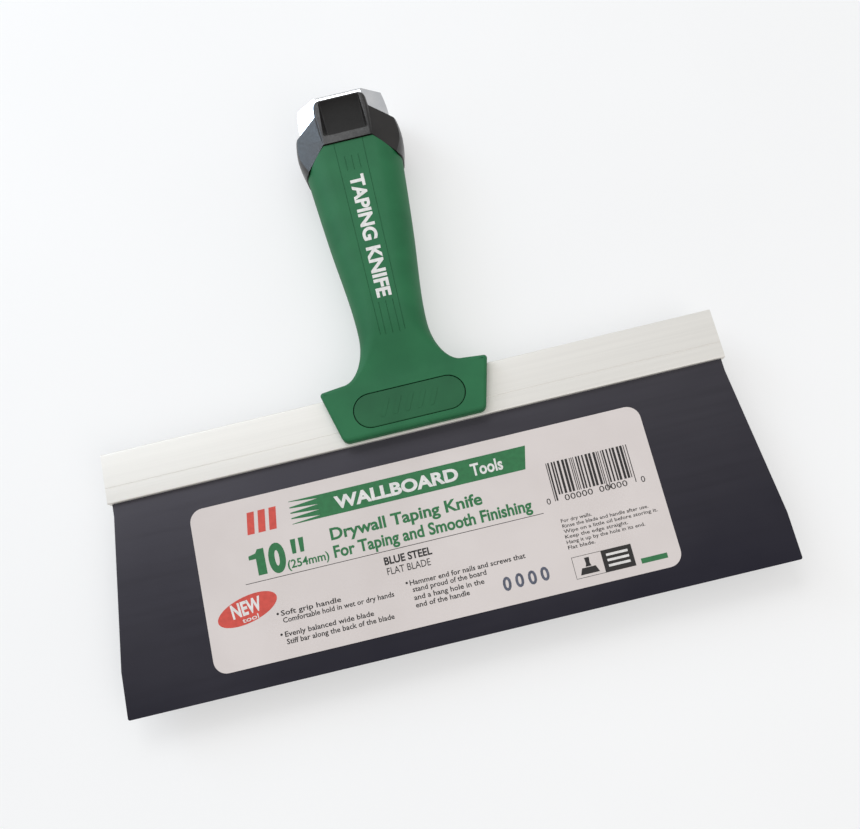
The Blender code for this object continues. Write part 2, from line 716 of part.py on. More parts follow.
def screw_span():
    """Where a cap screw's head sits and where its tip ends, along Y."""
    inner_side = SCREW_X - SCREW_HEAD_RADIUS
    head_low = GRIP_END_Y - (inner_side - GRIP_FLAT_HALF) * GRIP_CHAMFER_SLOPE + CORE_STEP + GAP
    return head_low + SCREW_HEAD, shoulder_y(SCREW_X) + SCREW_REACH


def screw_cutters(owner):
    seat, tip = screw_span()
    made = []
    for side in (-1, 1):
        profile = [
            (0.0, -FAR / 4),
            (SCREW_HEAD_RADIUS + HOLE_FIT, -FAR / 4),
            (SCREW_HEAD_RADIUS + HOLE_FIT, 0.0),
            (SCREW_RADIUS + HOLE_FIT, 0.0),
            (SCREW_RADIUS + HOLE_FIT, tip - seat + GAP),
            (0.0, tip - seat + GAP),
        ]
        bm = turned(profile, (side * SCREW_X, seat, 0), (0, 1, 0))
        made.append(add(f"{owner}_screw_room_{side}", bm, None))
    return made


def cap_screw(name, side, finish):
    """Pan-head screw: domed head below, plain shank for its thread."""
    seat, tip = screw_span()
    length = tip - seat
    profile = [
        (0.0, -SCREW_HEAD),
        (SCREW_HEAD_RADIUS * SCREW_HEAD_FLAT, -SCREW_HEAD),
        (SCREW_HEAD_RADIUS, -SCREW_HEAD * SCREW_HEAD_RIM),
        (SCREW_HEAD_RADIUS, -FIT),
        (SCREW_RADIUS, -FIT),
        (SCREW_RADIUS, length - SCREW_RADIUS),
        (0.0, length),
    ]
    add(name, turned(profile, (side * SCREW_X, seat, 0), (0, 1, 0)), finish)


def cap_height(y):
    """Half thickness of the hammer cap, rounded off towards its face."""
    over = min(max(y - (END_Y - CAP_FACE_EDGE), 0.0), CAP_FACE_EDGE)
    return CAP_HALF_THICKNESS - CAP_FACE_EDGE + math.sqrt(CAP_FACE_EDGE**2 - over**2)


def hammer_cap(finish):
    """Two rounded lobes and one face plate round the collar's frame."""
    levels = [END_Y - CAP_BELOW, shoulder_y(CAP_HALF), shoulder_y(FRAME_HALF), END_Y - CAP_CORNER_BACK]
    turns = [math.pi / 2 * i / FACE_STEPS for i in range(FACE_STEPS + 1)]
    levels += [END_Y - CAP_FACE_EDGE * (1 - math.sin(turn)) for turn in turns]
    widths = (
        (shoulder_y(CAP_HALF), CAP_HALF, 0.0),
        (END_Y, CAP_TOP_HALF - CAP_FACE_TUCK, CAP_FLARE),
    )
    side = [Vector((hermite(widths, y), y)) for y in levels]
    obj = add("hammer_cap", barrel(side, cap_height, lambda y: CAP_SIDE_EDGE), finish, math.radians(20))
    corner = Vector((CAP_TOP_HALF, END_Y - CAP_CORNER_BACK))
    face = Vector((CAP_FACE_HALF, END_Y))
    way = (corner - face).normalized()
    beyond = [
        Vector((0.0, END_Y + FAR)),
        Vector((FAR, END_Y + FAR)),
        face + way * FAR,
    ]
    beyond += round_corner(beyond[-1], face, (0, END_Y), CAP_FACE_CORNER, FACE_STEPS)
    beyond += [Vector((0.0, END_Y))]
    chamfer = prism(mirrored(list(reversed(beyond))), -FAR, FAR)
    room = prism(mirrored(frame_side(END_Y - 2 * CAP_BELOW, CAP_FIT)), -FAR, FAR)
    shoulder = [
        Vector((0.0, 0.0)),
        Vector((FAR, 0.0)),
        Vector((FAR, shoulder_y(FAR, CAP_FIT))),
        Vector((0.0, shoulder_y(0, CAP_FIT))),
    ]
    below = prism(mirrored(shoulder), -FAR, FAR)
    cut(obj, add("cap_chamfer", chamfer, None), add("frame_room", room, None))
    cut(obj, add("below_cap", below, None), *facet_cutters("cap"), *screw_cutters("cap"))


def label(finish):
    half = LABEL_WIDTH / 2
    top = BACKING_Y - LABEL_TOP_GAP
    corners = [
        (LABEL_CENTRE_X - half, LABEL_Y),
        (LABEL_CENTRE_X + half, LABEL_Y),
        (LABEL_CENTRE_X + half, top),
        (LABEL_CENTRE_X - half, top),
    ]
    low = BLADE_THICKNESS / 2 + FIT
    add("label", prism(rounded(corners, LABEL_CORNER, 8), low, low + LABEL_THICKNESS), finish)


def build():
    clear_scene()
    knife = bpy.data.objects.new("knife", None)
    knife.location = (0.0, -END_Y / 2, LIE_HEIGHT)
    bpy.context.scene.collection.objects.link(knife)
    steel = material("tool_steel", (0.45, 0.45, 0.46), 0.35, 1.0)
    green = material("green_soft_grip", (0.02, 0.16, 0.06), 0.6)
    blade(material("blued_steel", (0.04, 0.045, 0.07), 0.4, 0.6))
    backing(material("satin_aluminium", (0.80, 0.79, 0.77), 0.35, 1.0))
    tang(steel)
    core(material("core_plastic", (0.03, 0.03, 0.03), 0.5))
    grip(green)
    inlay = material("green_inlay", (0.018, 0.13, 0.05), 0.5)
    medallion("front_medallion", 1, inlay)
    medallion("back_medallion", -1, inlay)
    for name, x in RIVETS.items():
        rivet(name, x, steel)
    for name, y in PINS.items():
        tang_pin(name, y, steel)
    collar(material("black_hard_plastic", (0.015, 0.015, 0.018), 0.3))
    hammer_cap(material("cap_metal", (0.85, 0.85, 0.86), 0.15, 1.0))
    cap_screw("cap_screw_left", -1, steel)
    cap_screw("cap_screw_right", 1, steel)
    label(material("label_paper", (0.75, 0.70, 0.68), 0.5))


build()
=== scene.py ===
import math

import bmesh
import bpy
from mathutils import Matrix, Vector


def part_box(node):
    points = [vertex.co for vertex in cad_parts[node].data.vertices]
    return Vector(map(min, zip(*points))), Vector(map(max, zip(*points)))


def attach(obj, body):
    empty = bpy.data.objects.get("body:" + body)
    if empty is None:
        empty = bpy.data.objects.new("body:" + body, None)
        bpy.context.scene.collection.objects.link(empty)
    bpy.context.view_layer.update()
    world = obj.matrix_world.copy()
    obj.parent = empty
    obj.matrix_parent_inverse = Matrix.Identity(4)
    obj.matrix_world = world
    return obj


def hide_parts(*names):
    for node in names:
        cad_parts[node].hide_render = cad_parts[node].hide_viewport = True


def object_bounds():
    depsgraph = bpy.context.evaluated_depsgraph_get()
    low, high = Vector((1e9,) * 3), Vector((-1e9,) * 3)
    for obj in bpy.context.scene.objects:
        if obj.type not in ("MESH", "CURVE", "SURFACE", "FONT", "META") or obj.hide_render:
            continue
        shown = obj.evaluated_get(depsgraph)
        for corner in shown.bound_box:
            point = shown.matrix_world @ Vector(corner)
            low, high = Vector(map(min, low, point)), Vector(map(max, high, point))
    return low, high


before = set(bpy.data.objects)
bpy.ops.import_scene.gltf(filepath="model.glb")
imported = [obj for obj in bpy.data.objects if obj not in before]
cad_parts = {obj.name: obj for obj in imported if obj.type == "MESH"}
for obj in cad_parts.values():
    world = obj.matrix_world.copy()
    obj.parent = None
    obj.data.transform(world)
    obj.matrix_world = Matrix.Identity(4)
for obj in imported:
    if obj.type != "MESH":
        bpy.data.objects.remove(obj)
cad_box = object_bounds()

# Looks of the drywall taping knife. The functions below work in the knife's own frame, in metres:
# x = 0 is its centre line, y = 0 the working edge and z = 0 the blade's middle plane.

MM = 0.001
blade_low, blade_high = (Vector(corner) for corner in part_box("blade"))
TO_ROW = Matrix.Translation((0.0, blade_low.y, (blade_low.z + blade_high.z) / 2))

# Handle form
FOOT_Y = 0.0814
FOOT_TOP_Y = 0.1036
WAIST_Y = 0.1226
GRIP_END_Y = 0.2033
END_Y = 0.2271
FOOT_BOTTOM_HALF = 0.0279
FOOT_TOP_HALF = 0.0335
FOOT_LOW_RADIUS = 0.0028
FOOT_TOP_RADIUS = 0.0013
FOOT_CORNER_DROP = 0.0010
FILLET_WIDTH = 0.0100
FILLET_HEIGHT = 0.0190
WAIST_HALF = 0.0139
PALM_HALF = 0.0175
PALM_FLARE = 0.095
GRIP_END_HALF = 0.0209
GRIP_END_FLARE = 0.080
FOOT_HALF_THICKNESS = 0.0072
WAIST_HALF_THICKNESS = 0.0110
WAIST_SWELL = 0.03
GRIP_END_HALF_THICKNESS = 0.0121
GRIP_END_SWELL = 0.01
SWELL_REACH = 0.0020
FOOT_EDGE = 0.0015
WAIST_EDGE = 0.0084
WAIST_EDGE_GROWTH = 0.05
GRIP_END_EDGE = 0.0104
GRIP_END_EDGE_GROWTH = 0.02
SKIN = 0.0020
CORE_FIT = 0.0001
CORE_STEP = 0.0022
SPARE = 0.0100
LEAST_CORNER = 0.0006
LEAST_EDGE = 0.0004
CORNER_STEPS = 2
EDGE_STEPS = 3
SWEEP_STEPS = 7
SHAFT_STEPS = 5
GRIP_DETAIL = 6
HIDDEN_DETAIL = 1

# Collar, hang hole and hammer cap
COLLAR_HALF = 0.0224
COLLAR_LOW_HALF = 0.0206
COLLAR_TOP_HALF = 0.0200
COLLAR_HALF_THICKNESS = 0.0126
COLLAR_EDGE = 0.0100
COLLAR_BULGE_BACK = 0.0225
COLLAR_LOW_FLARE = 0.20
COLLAR_TOP_FLARE = -0.25
COLLAR_SPARE = 0.0020
COLLAR_SOFTENING = 0.00025
GRIP_FLAT_HALF = 0.0103
GRIP_TIP_X = 0.0190
GRIP_TIP_DROP = 0.0088
FRAME_HALF = 0.0114
FRAME_LOW_HALF = 0.0106
FRAME_TOP_HALF = 0.0108
FRAME_LAP = 0.0020
FRAME_BACK = 0.0026
FRAME_HALF_THICKNESS = 0.0128
FRAME_CORNER = 0.0030
FRAME_EDGE = 0.0013
FRAME_KINK_DROP = 0.0008
HOLE_HALF = 0.0094
HOLE_TOP_HALF = 0.0085
HOLE_Y = 0.2072
HOLE_TOP_Y = 0.2233
HOLE_CORNER = 0.0008
SHOULDER_BACK = 0.0094
SHOULDER_SLOPE = 0.60
FACET_DROP = 0.0016
FACET_BACK = 0.0098
FACET_TILT = 26.0
FACET_PITCH = 3.0
CAP_HALF = 0.0190
CAP_TOP_HALF = 0.0178
CAP_FACE_HALF = 0.0068
CAP_CORNER_BACK = 0.0027
CAP_FLARE = -0.25
CAP_FACE_TUCK = 0.0006
CAP_FACE_CORNER = 0.0030
CAP_BELOW = 0.0200
CAP_HALF_THICKNESS = 0.0116
CAP_SIDE_EDGE = 0.0036
CAP_FACE_EDGE = 0.0018
CAP_SOFTENING = 0.0003
BARREL_STEPS = 36
BARREL_EDGE_STEPS = 16
FACE_STEPS = 10
GAP = 0.0003
CAP_FIT = 0.0001
FIT = 0.00005
FAR = 0.06
MERGE = 1e-6
NIL = 1e-9
EDGE_ANGLE = math.radians(32)
FINE_ANGLE = math.radians(15)

# Backing
backing_low, backing_high = (TO_ROW.inverted() @ Vector(corner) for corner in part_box("backing"))
BACKING_EDGE = 0.0009
BACKING_LINE_RISE = 0.0062
BACKING_LINE_DEPTH = 0.00012
BACKING_LINE_HALF = 0.00022
BLADE_SLOT_HALF = 0.0003
TANG_POCKET_HALF = 0.0181

# Medallions
MEDALLION_LENGTH = 0.0436
MEDALLION_HEIGHT = 0.0133
MEDALLION_Y = FOOT_Y + 0.0098
STADIUM_STEPS = 12


# Making pieces


def piece(name, bm, finish, sharp=EDGE_ANGLE):
    """The bmesh as a named object in its place, shaded smooth between its sharp edges."""
    bmesh.ops.transform(bm, matrix=TO_ROW, verts=bm.verts)
    bmesh.ops.recalc_face_normals(bm, faces=bm.faces)
    mesh = bpy.data.meshes.new(name)
    bm.to_mesh(mesh)
    bm.free()
    obj = bpy.data.objects.new(name, mesh)
    bpy.context.scene.collection.objects.link(obj)
    smooth(obj, sharp)
    if finish:
        mesh.materials.append(finish)
    return obj


def smooth(obj, sharp):
    obj.data.shade_smooth()
    obj.data.set_sharp_from_angle(angle=sharp)


def settle(obj):
    """Puts the result of the object's modifiers in its mesh."""
    view = bpy.context.evaluated_depsgraph_get()
    made = bpy.data.meshes.new_from_object(obj.evaluated_get(view))
    obj.modifiers.clear()
    old, name = obj.data, obj.data.name
    obj.data = made
    bpy.data.meshes.remove(old)
    made.name = name


def combine(obj, others, operation, sharp=EDGE_ANGLE):
    """Adds or takes away other forms, which are then removed."""
    for other in others:
        modifier = obj.modifiers.new(other.name, "BOOLEAN")
        modifier.operation = operation
        modifier.solver = "EXACT"
        modifier.object = other
    settle(obj)
    for other in others:
        mesh = other.data
        bpy.data.objects.remove(other)
        bpy.data.meshes.remove(mesh)
    smooth(obj, sharp)


def cut(obj, *cutters, sharp=EDGE_ANGLE):
    combine(obj, cutters, "DIFFERENCE", sharp)


def soften(obj, width, segments=2):
    """Small rounding along the sharp edges."""
    bevel = obj.modifiers.new("softened_edges", "BEVEL")
    bevel.width = width
    bevel.segments = segments
    bevel.limit_method = "ANGLE"
    bevel.angle_limit = FINE_ANGLE
    bevel.profile = 0.5
    bevel.material = -1
    bevel.harden_normals = True


def hermite(stations, at):
    """Smooth value through stations of (place, value, slope), held constant outside them."""
    if at <= stations[0][0]:
        return stations[0][1]
    for (a, low, slope_a), (b, high, slope_b) in zip(stations, stations[1:]):
        if at <= b:
            t = (at - a) / (b - a)
            rise = (3 - 2 * t) * t * t
            return (
                low + (high - low) * rise
                + (b - a) * t * (1 - t) * (slope_a * (1 - t) - slope_b * t)
            )
    return stations[-1][1]


def arc(centre, radius_x, radius_y, start, end, steps):
    """Points on part of an ellipse, angles in degrees."""
    turns = [math.radians(start + (end - start) * i / steps) for i in range(steps + 1)]
    return [
        Vector((centre[0] + radius_x * math.cos(a), centre[1] + radius_y * math.sin(a)))
        for a in turns
    ]


def round_corner(before, corner, after, radius, steps):
    """The points of a tangent arc in place of a corner, in the order of travel."""
    before, corner, after = Vector(before), Vector(corner), Vector(after)
    way_in = (corner - before).normalized()
    way_out = (after - corner).normalized()
    turn = way_in.angle_signed(way_out)
    reach = radius * abs(math.tan(turn / 2))
    side = Vector((-way_in.y, way_in.x)) * (radius if turn < 0 else -radius)
    centre = corner - way_in * reach + side
    start = corner - way_in * reach - centre
    turns = [Matrix.Rotation(-turn * i / steps, 2) for i in range(steps + 1)]
    return [centre + spin @ start for spin in turns]


def rounded(corners, radius, steps=4):
    points = []
    for i, corner in enumerate(corners):
        after = corners[(i + 1) % len(corners)]
        points += round_corner(corners[i - 1], corner, after, radius, steps)
    return points


def mirrored(half):
    """Closed outline from its right half, which runs from the lower to the upper centre line."""
    left = [Vector((-p[0], p[1])) for p in reversed(half) if abs(p[0]) > NIL]
    return [Vector(p) for p in half] + left


def stadium(length, height, centre_y, grow=0.0):
    radius = height / 2 + grow
    reach = length / 2 - height / 2
    right = arc((reach, centre_y), radius, radius, -90, 90, 2 * STADIUM_STEPS)
    left = arc((-reach, centre_y), radius, radius, 90, 270, 2 * STADIUM_STEPS)
    return right + left


def prism(outline, low, high, bm=None):
    """A plan outline drawn up from z = low to z = high, added to the bmesh if one is given."""
    bm = bm or bmesh.new()
    face = bm.faces.new([bm.verts.new((p[0], p[1], low)) for p in outline])
    top = bmesh.ops.extrude_face_region(bm, geom=[face])["geom"]
    moved = [v for v in top if isinstance(v, bmesh.types.BMVert)]
    bmesh.ops.translate(bm, verts=moved, vec=(0, 0, high - low))
    return bm


def block(low, high, bm=None):
    corners = [(low[0], low[1]), (high[0], low[1]), (high[0], high[1]), (low[0], high[1])]
    return prism(corners, low[2], high[2], bm)


def edge_rounded(side, half_thickness, edge_radius, arc_steps):
    """A body whose plan is the right-hand outline `side` and its mirror image.

    Its half thickness and the radius of its front and back edges are functions of y. Each outline point
    gets a rib: up the side wall, round the edge, and across the face to the centre line."""
    bm = bmesh.new()
    ribs = []
    for i, point in enumerate(side):
        way = (side[min(i + 1, len(side) - 1)] - side[max(i - 1, 0)]).normalized()
        if abs(point.x) < NIL:
            way = Vector((math.copysign(1, way.x), 0))
        inward = Vector((-way.y, way.x))
        radius = edge_radius(point.y)
        inner = point + inward * radius
        height = half_thickness(inner.y)
        rib = [(point.x, point.y, 0.0)]
        for step in range(arc_steps + 1):
            a = math.pi / 2 * step / arc_steps
            at = point + inward * radius * (1 - math.cos(a))
            rib.append((at.x, at.y, height - radius + radius * math.sin(a)))
        rib.append((0.0, inner.y, height))
        ribs.append([bm.verts.new(p) for p in rib])
    chains = [[bm.edges.new(pair) for pair in zip(rib, rib[1:])] for rib in ribs]
    for one, two in zip(chains, chains[1:]):
        bmesh.ops.bridge_loops(bm, edges=one + two)
    bmesh.ops.remove_doubles(bm, verts=bm.verts, dist=MERGE)
    for axis in "XZ":
        bmesh.ops.mirror(bm, geom=bm.verts[:] + bm.edges[:] + bm.faces[:], axis=axis, merge_dist=MERGE)
    bmesh.ops.remove_doubles(bm, verts=bm.verts, dist=MERGE)
    open_edges = [e for e in bm.edges if e.is_boundary]
    if open_edges:
        bmesh.ops.contextual_create(bm, geom=open_edges)
    return bm


def strung(rings):
    """Bmesh of a closed tube through rings of points, capped at both ends."""
    bm = bmesh.new()
    loops = []
    for ring in rings:
        verts = [bm.verts.new(p) for p in ring]
        loops.append([bm.edges.new((verts[i - 1], verts[i])) for i in range(len(verts))])
    for one, two in zip(loops, loops[1:]):
        bmesh.ops.bridge_loops(bm, edges=one + two)
    for loop in (loops[0], loops[-1]):
        bmesh.ops.contextual_create(bm, geom=loop)
    return bm


# Handle


def handle_side(inset, top_y, detail):
    """Right-hand plan of the handle from the foot's bottom centre to top_y, drawn in by inset."""
    low = Vector((FOOT_BOTTOM_HALF, FOOT_Y))
    high = Vector((FOOT_TOP_HALF, FOOT_TOP_Y - FOOT_CORNER_DROP))
    way = (high - low).normalized()
    inward = Vector((-way.y, way.x)) * inset
    low = low + inward + way * ((inset - inward.y) / way.y)
    sweep = arc(
        (WAIST_HALF + FILLET_WIDTH, WAIST_Y),
        FILLET_WIDTH + inset,
        FILLET_HEIGHT + inset,
        -90,
        -180,
        SWEEP_STEPS * detail,
    )
    high = high + inward + way * ((-inset - inward.y) / way.y)
    low_radius = max(FOOT_LOW_RADIUS - inset, LEAST_CORNER)
    top_radius = max(FOOT_TOP_RADIUS - inset, LEAST_CORNER)
    points = [Vector((0.0, FOOT_Y + inset))]
    points += round_corner(points[0], low, high, low_radius, CORNER_STEPS * detail)
    points += round_corner(low, high, sweep[0], top_radius, CORNER_STEPS * detail)
    points += sweep
    widths = (
        (WAIST_Y, WAIST_HALF, 0.0),
        ((WAIST_Y + GRIP_END_Y) / 2, PALM_HALF, PALM_FLARE),
        (GRIP_END_Y, GRIP_END_HALF, GRIP_END_FLARE),
    )
    count = SHAFT_STEPS * detail
    for i in range(1, count + 1):
        y = WAIST_Y + (top_y - WAIST_Y) * i / count
        over = max(y - GRIP_END_Y, 0.0) * GRIP_END_FLARE
        points.append(Vector((hermite(widths, y) + over - inset, y)))
    return points


def handle_height(y):
    return hermite(
        (
            (FOOT_TOP_Y - SWELL_REACH, FOOT_HALF_THICKNESS, 0.0),
            (WAIST_Y + SWELL_REACH, WAIST_HALF_THICKNESS, WAIST_SWELL),
            (GRIP_END_Y, GRIP_END_HALF_THICKNESS, GRIP_END_SWELL),
        ),
        y,
    )


def handle_edge(y):
    return hermite(
        (
            (FOOT_TOP_Y, FOOT_EDGE, WAIST_EDGE_GROWTH),
            (WAIST_Y + SWELL_REACH, WAIST_EDGE, WAIST_EDGE_GROWTH),
            (GRIP_END_Y, GRIP_END_EDGE, GRIP_END_EDGE_GROWTH),
        ),
        y,
    )


def handle_form(inset, top_y, detail):
    def height(y):
        return handle_height(y) - inset

    def edge(y):
        return min(max(handle_edge(y) - inset, LEAST_EDGE), height(y) - LEAST_EDGE)

    return edge_rounded(handle_side(inset, top_y, detail), height, edge, EDGE_STEPS * detail)


def grip_end(rise):
    """Right half of the grip's flat and chamfered end, from its centre outwards, moved up by rise."""
    y = GRIP_END_Y + rise
    return [
        Vector((0.0, y)),
        Vector((GRIP_FLAT_HALF, y)),
        Vector((GRIP_TIP_X, y - GRIP_TIP_DROP)),
        Vector((FAR, y - GRIP_TIP_DROP)),
    ]


def above_grip(rise):
    half = grip_end(rise) + [Vector((FAR, END_Y + FAR)), Vector((0.0, END_Y + FAR))]
    return prism(mirrored(half), -FAR, FAR)


def below_grip(rise):
    half = [Vector((0.0, FOOT_Y)), Vector((FAR, FOOT_Y))] + grip_end(rise)[::-1]
    return prism(mirrored(half), -FAR, FAR)


GROOVE_HALF = 0.00015
GROOVE_DEPTH = 0.00020
GROOVE_STEPS = 24
LONG_GROOVE = ((0.0049, 0.1190), (0.00595, 0.2031))
SHORT_GROOVES = (-0.0028, 0.0, 0.0028)
UPPER_GROOVES = (0.1900, 0.1965)
LOWER_GROOVES = (0.1187, 0.1320)


def groove(start, end, face):
    """Cutter for a narrow groove along the grip's front (face 1) or back (face -1)."""
    rings = []
    for i in range(GROOVE_STEPS + 1):
        x, y = Vector(start).lerp(Vector(end), i / GROOVE_STEPS)
        over, floor = handle_height(y) + GAP, handle_height(y) - GROOVE_DEPTH
        ring = [(-1.4, over), (1.4, over), (0.6, floor), (-0.6, floor)]
        rings.append([(x + side * GROOVE_HALF, y, z * face) for side, z in ring])
    return strung(rings)


def grooves():
    made = []
    (low_x, low_y), (high_x, high_y) = LONG_GROOVE
    for face in (1, -1):
        for side in (1, -1):
            made.append(groove((low_x * side, low_y), (high_x * side, high_y), face))
        for x in SHORT_GROOVES:
            made.append(groove((x, UPPER_GROOVES[0]), (x, UPPER_GROOVES[1]), face))
            made.append(groove((x, LOWER_GROOVES[0]), (x, LOWER_GROOVES[1]), face))
    return [piece(f"groove_{i}", bm, None) for i, bm in enumerate(made)]


def grip(finish):
    sharp = math.radians(40)
    obj = piece("soft_grip", handle_form(0.0, GRIP_END_Y + SPARE, GRIP_DETAIL), finish, sharp)
    cavity = handle_form(SKIN - CORE_FIT, GRIP_END_Y + SPARE + GAP, HIDDEN_DETAIL)
    slot_half = (backing_high.z - backing_low.z) / 2 + FIT
    slot = block((-FAR, 0, -slot_half), (FAR, backing_high.y + GAP, slot_half))
    opening = prism(stadium(MEDALLION_LENGTH, MEDALLION_HEIGHT, MEDALLION_Y, GAP), -FAR, FAR)
    cutters = [above_grip(0.0), cavity, slot, opening]
    forms = [piece(f"grip_cutter_{i}", bm, None) for i, bm in enumerate(cutters)]
    cut(obj, *forms, *grooves(), sharp=sharp)
    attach(obj, "root")
    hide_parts("grip")
    return obj


# Raised pattern on each medallion: a plain row of slanted bars inside a rim
PATTERN_RISE = 0.00011
PATTERN_BARS = 5
PATTERN_PITCH = 0.0048
PATTERN_HALF_WIDTH = 0.0009
PATTERN_HALF_HEIGHT = 0.0034
PATTERN_LEAN = 0.0016


def medallion_pattern(finish):
    bm = bmesh.new()
    top = FOOT_HALF_THICKNESS - 0.0001
    for face in (1, -1):
        for i in range(PATTERN_BARS):
            x = (i - (PATTERN_BARS - 1) / 2) * PATTERN_PITCH
            corners = []
            for side, level in ((-1, -1), (1, -1), (1, 1), (-1, 1)):
                corners.append((
                    x + side * PATTERN_HALF_WIDTH + level * PATTERN_LEAN,
                    MEDALLION_Y + level * PATTERN_HALF_HEIGHT,
                ))
            low, high = sorted((face * (top - FIT), face * (top + PATTERN_RISE)))
            prism(rounded(corners, 0.0004), low, high, bm)
    obj = piece("medallion_pattern", bm, finish)
    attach(obj, "root")


# Collar and hammer cap


def shoulder_y(x, rise=0.0):
    """Height of the collar's sloped shoulder at x, which the cap's lobes stand on."""
    return END_Y - SHOULDER_BACK - (abs(x) - FRAME_HALF) * SHOULDER_SLOPE + rise


def collar_side():
    low_y = GRIP_END_Y - GRIP_TIP_DROP
    top_y = END_Y - SHOULDER_BACK + COLLAR_SPARE
    widths = (
        (low_y, COLLAR_LOW_HALF, COLLAR_LOW_FLARE),
        (END_Y - COLLAR_BULGE_BACK, COLLAR_HALF, 0.0),
        (top_y, COLLAR_TOP_HALF, COLLAR_TOP_FLARE),
    )
    steps = [low_y + (top_y - low_y) * i / BARREL_STEPS for i in range(BARREL_STEPS + 1)]
    return [Vector((hermite(widths, y), y)) for y in steps]


def barrel(side, half_thickness, edge_radius):
    """A bar whose cross-section is a rounded rectangle as wide as the outline at each y."""
    rings = []
    for point in side:
        height, radius = half_thickness(point.y), edge_radius(point.y)
        corner = (point.x - radius, height - radius)
        quarter = arc(corner, radius, radius, 0, 90, BARREL_EDGE_STEPS)
        loop = quarter + [Vector((-p.x, p.y)) for p in reversed(quarter)]
        loop += [Vector((-p.x, -p.y)) for p in quarter]
        loop += [Vector((p.x, -p.y)) for p in reversed(quarter)]
        rings.append([(p.x, point.y, p.y) for p in loop])
    return strung(rings)


def facet_cutters():
    made = []
    corner = (FRAME_HALF, END_Y - FACET_BACK, FRAME_HALF_THICKNESS - FACET_DROP)
    tilt = Matrix.Rotation(math.radians(FACET_TILT), 4, "Y")
    pitch = Matrix.Rotation(math.radians(-FACET_PITCH), 4, "X")
    for side in (-1, 1):
        for face in (-1, 1):
            bm = block((-FAR, -FAR, 0.0), (FAR, FAR, FAR / 2))
            bmesh.ops.transform(bm, verts=bm.verts, matrix=Matrix.Translation(corner) @ tilt @ pitch)
            bmesh.ops.scale(bm, verts=bm.verts, vec=(side, 1, face))
            made.append(piece(f"facet_{side}_{face}", bm, None))
    return made


def frame_side(low, grow=0.0):
    """Right half of the raised frame's plan, narrower at its foot and at its top, grown by a clearance."""
    top = END_Y - FRAME_BACK + grow
    corner = (FRAME_TOP_HALF + grow, top)
    right = [Vector((0.0, low)), Vector((FRAME_LOW_HALF + grow, low))]
    right += [Vector((FRAME_HALF + grow, END_Y - SHOULDER_BACK - FRAME_KINK_DROP))]
    right += round_corner(right[-1], corner, (0, top), FRAME_CORNER + grow, 10)
    return right + [Vector((0.0, top))]


def frame_block():
    low = GRIP_END_Y - FRAME_LAP
    bm = prism(mirrored(frame_side(low)), -FRAME_HALF_THICKNESS, FRAME_HALF_THICKNESS)
    rim = [e for e in bm.edges if abs(e.verts[0].co.z - e.verts[1].co.z) < MERGE]
    rim = [e for e in rim if max(v.co.y for v in e.verts) > low + MERGE]
    bmesh.ops.bevel(
        bm, geom=rim, offset=FRAME_EDGE, segments=5, profile=0.5, affect="EDGES", material=-1
    )
    return bm


def hole_block():
    corners = [
        (-HOLE_HALF, HOLE_Y),
        (HOLE_HALF, HOLE_Y),
        (HOLE_TOP_HALF, HOLE_TOP_Y),
        (-HOLE_TOP_HALF, HOLE_TOP_Y),
    ]
    return prism(rounded(corners, HOLE_CORNER, 6), -FAR / 2, FAR / 2)


def collar(finish):
    form = barrel(collar_side(), lambda y: COLLAR_HALF_THICKNESS, lambda y: COLLAR_EDGE)
    obj = piece("end_collar", form, finish)
    shoulder = [
        Vector((0.0, shoulder_y(0))),
        Vector((FAR, shoulder_y(FAR))),
        Vector((FAR, END_Y + FAR)),
        Vector((0.0, END_Y + FAR)),
    ]
    cut(obj, piece("shoulder_cut", prism(mirrored(shoulder), -FAR, FAR), None), *facet_cutters())
    combine(obj, [piece("frame_block", frame_block(), None)], "UNION")
    room = piece("core_room", handle_form(SKIN - GAP, GRIP_END_Y + SPARE + GAP, HIDDEN_DETAIL), None)
    cut(room, piece("core_room_end", above_grip(CORE_STEP + GAP), None))
    cut(obj, piece("grip_room", below_grip(GAP), None), room, piece("hole_cut", hole_block(), None),
        sharp=FINE_ANGLE)
    soften(obj, COLLAR_SOFTENING)
    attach(obj, "root")
    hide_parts("collar")


def cap_height(y):
    """Half thickness of the hammer cap, rounded off towards its face."""
    over = min(max(y - (END_Y - CAP_FACE_EDGE), 0.0), CAP_FACE_EDGE)
    return CAP_HALF_THICKNESS - CAP_FACE_EDGE + math.sqrt(CAP_FACE_EDGE**2 - over**2)


